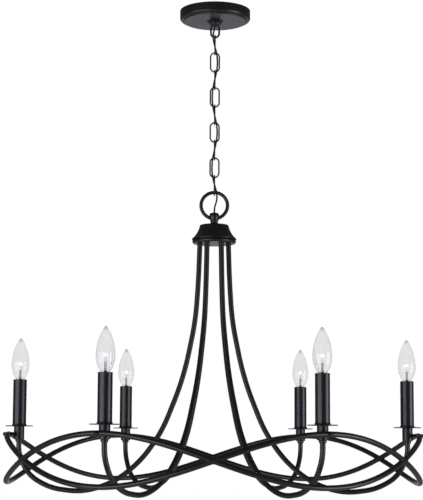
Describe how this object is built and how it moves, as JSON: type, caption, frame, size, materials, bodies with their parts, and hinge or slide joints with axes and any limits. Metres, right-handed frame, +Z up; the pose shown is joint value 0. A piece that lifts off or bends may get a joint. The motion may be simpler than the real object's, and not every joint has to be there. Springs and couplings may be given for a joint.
{
  "type": "multi arm chandelier",
  "caption": "Candle-style chandelier: curved tube arms in a ring, interlaced wavy hoops, clear flame lamps, hung by a chain with a woven cord from a round canopy.",
  "frame": {"origin": "centre of the canopy's rim, on the ceiling plane", "axes": "+Z up through the ceiling; +X and -X each pass through a candle; the fixture hangs below the origin"},
  "size_m": [0.813, 0.8004, 0.9544],
  "materials": {
    "black_metal": "satin black powder coat",
    "chain_black": "satin black, rubbed where links touch",
    "sleeve_black": "satin black with soft vertical sheen",
    "clear_glass": "clear blown glass",
    "lamp_brass": "bright brass",
    "zinc_steel": "zinc plated",
    "ground_green": "green dyed zinc",
    "connector_plastic": "moulded",
    "lead_insulation": "smooth insulation",
    "cord_jacket": "black braided sleeve",
    "lampholder_black": "moulded phenolic"
  },
  "bodies": {
    "canopy": {"canopy": "black_metal", "canopy_loop": "black_metal", "collar_nut": "black_metal", "mounting_strap": "zinc_steel", "ground_screw": "ground_green", "threaded_nipple": "zinc_steel", "lock_nuts": "zinc_steel", "lead_wires": "lead_insulation", "wire_connectors": "connector_plastic", "supply_cord": "cord_jacket"},
    "chain_link_1": {"chain_link_1": "chain_black"},
    "chain_link_2": {"chain_link_2": "chain_black"},
    "chain_link_3": {"chain_link_3": "chain_black"},
    "chain_link_4": {"chain_link_4": "chain_black"},
    "chain_link_5": {"chain_link_5": "chain_black"},
    "chain_link_6": {"chain_link_6": "chain_black"},
    "chain_link_7": {"chain_link_7": "chain_black"},
    "chain_link_8": {"chain_link_8": "chain_black"},
    "chain_link_9": {"chain_link_9": "chain_black"},
    "suspension_ring": {"suspension_ring": "black_metal"},
    "frame": {"hub_loop": "black_metal", "hub_cap": "black_metal", "hub_base_plate": "black_metal", "hub_nipple": "zinc_steel", "arm_1": "black_metal", "arm_2": "black_metal", "arm_3": "black_metal", "arm_4": "black_metal", "arm_5": "black_metal", "arm_6": "black_metal", "wave_ring_a": "black_metal", "wave_ring_b": "black_metal", "ring_screws": "black_metal", "ring_spacers": "black_metal", "bobeches": "black_metal", "lampholders": "lampholder_black", "socket_cup_1": "black_metal", "socket_cup_2": "black_metal", "socket_cup_3": "black_metal", "socket_cup_4": "black_metal", "socket_cup_5": "black_metal", "socket_cup_6": "black_metal", "candle_sleeve_1": "sleeve_black", "candle_sleeve_2": "sleeve_black", "candle_sleeve_3": "sleeve_black", "candle_sleeve_4": "sleeve_black", "candle_sleeve_5": "sleeve_black", "candle_sleeve_6": "sleeve_black"},
    "bulb_1": {"bulb_1_glass": "clear_glass", "bulb_1_base": "lamp_brass"},
    "bulb_2": {"bulb_2_glass": "clear_glass", "bulb_2_base": "lamp_brass"},
    "bulb_3": {"bulb_3_glass": "clear_glass", "bulb_3_base": "lamp_brass"},
    "bulb_4": {"bulb_4_glass": "clear_glass", "bulb_4_base": "lamp_brass"},
    "bulb_5": {"bulb_5_glass": "clear_glass", "bulb_5_base": "lamp_brass"},
    "bulb_6": {"bulb_6_glass": "clear_glass", "bulb_6_base": "lamp_brass"}
  },
  "joints": [
    {"name": "link_1_swing", "type": "hinge", "parent": "canopy", "child": "chain_link_1", "pos_m": [0, 0, -0.0536], "axis": [1, 0, 0], "range_deg": [-20, 20], "deforming": ["supply_cord"]},
    {"name": "link_2_swing", "type": "hinge", "parent": "chain_link_1", "child": "chain_link_2", "pos_m": [0, 0, -0.0886], "axis": [0, 1, 0], "range_deg": [-20, 20]},
    {"name": "link_3_swing", "type": "hinge", "parent": "chain_link_2", "child": "chain_link_3", "pos_m": [0, 0, -0.1241], "axis": [-1, 0, 0], "range_deg": [-20, 20]},
    {"name": "link_4_swing", "type": "hinge", "parent": "chain_link_3", "child": "chain_link_4", "pos_m": [0, 0, -0.1596], "axis": [0, -1, 0], "range_deg": [-20, 20]},
    {"name": "link_5_swing", "type": "hinge", "parent": "chain_link_4", "child": "chain_link_5", "pos_m": [0, 0, -0.1951], "axis": [1, 0, 0], "range_deg": [-20, 20]},
    {"name": "link_6_swing", "type": "hinge", "parent": "chain_link_5", "child": "chain_link_6", "pos_m": [0, 0, -0.2306], "axis": [0, 1, 0], "range_deg": [-20, 20]},
    {"name": "link_7_swing", "type": "hinge", "parent": "chain_link_6", "child": "chain_link_7", "pos_m": [0, 0, -0.2661], "axis": [-1, 0, 0], "range_deg": [-20, 20]},
    {"name": "link_8_swing", "type": "hinge", "parent": "chain_link_7", "child": "chain_link_8", "pos_m": [0, 0, -0.3016], "axis": [0, -1, 0], "range_deg": [-20, 20]},
    {"name": "link_9_swing", "type": "hinge", "parent": "chain_link_8", "child": "chain_link_9", "pos_m": [0, 0, -0.3371], "axis": [1, 0, 0], "range_deg": [-20, 20]},
    {"name": "ring_swing", "type": "hinge", "parent": "chain_link_9", "child": "suspension_ring", "pos_m": [0, 0, -0.3726], "axis": [0, 1, 0], "range_deg": [-20, 20]},
    {"name": "frame_swing", "type": "hinge", "parent": "suspension_ring", "child": "frame", "pos_m": [0, 0, -0.4193], "axis": [-1, 0, 0], "range_deg": [-20, 20]},
    {"name": "bulb_1_out", "type": "slide", "parent": "frame", "child": "bulb_1", "axis": [0, 0, 1], "range_m": [0, 0.03]},
    {"name": "bulb_2_out", "type": "slide", "parent": "frame", "child": "bulb_2", "axis": [0, 0, 1], "range_m": [0, 0.03]},
    {"name": "bulb_3_out", "type": "slide", "parent": "frame", "child": "bulb_3", "axis": [0, 0, 1], "range_m": [0, 0.03]},
    {"name": "bulb_4_out", "type": "slide", "parent": "frame", "child": "bulb_4", "axis": [0, 0, 1], "range_m": [0, 0.03]},
    {"name": "bulb_5_out", "type": "slide", "parent": "frame", "child": "bulb_5", "axis": [0, 0, 1], "range_m": [0, 0.03]},
    {"name": "bulb_6_out", "type": "slide", "parent": "frame", "child": "bulb_6", "axis": [0, 0, 1], "range_m": [0, 0.03]}
  ]
}
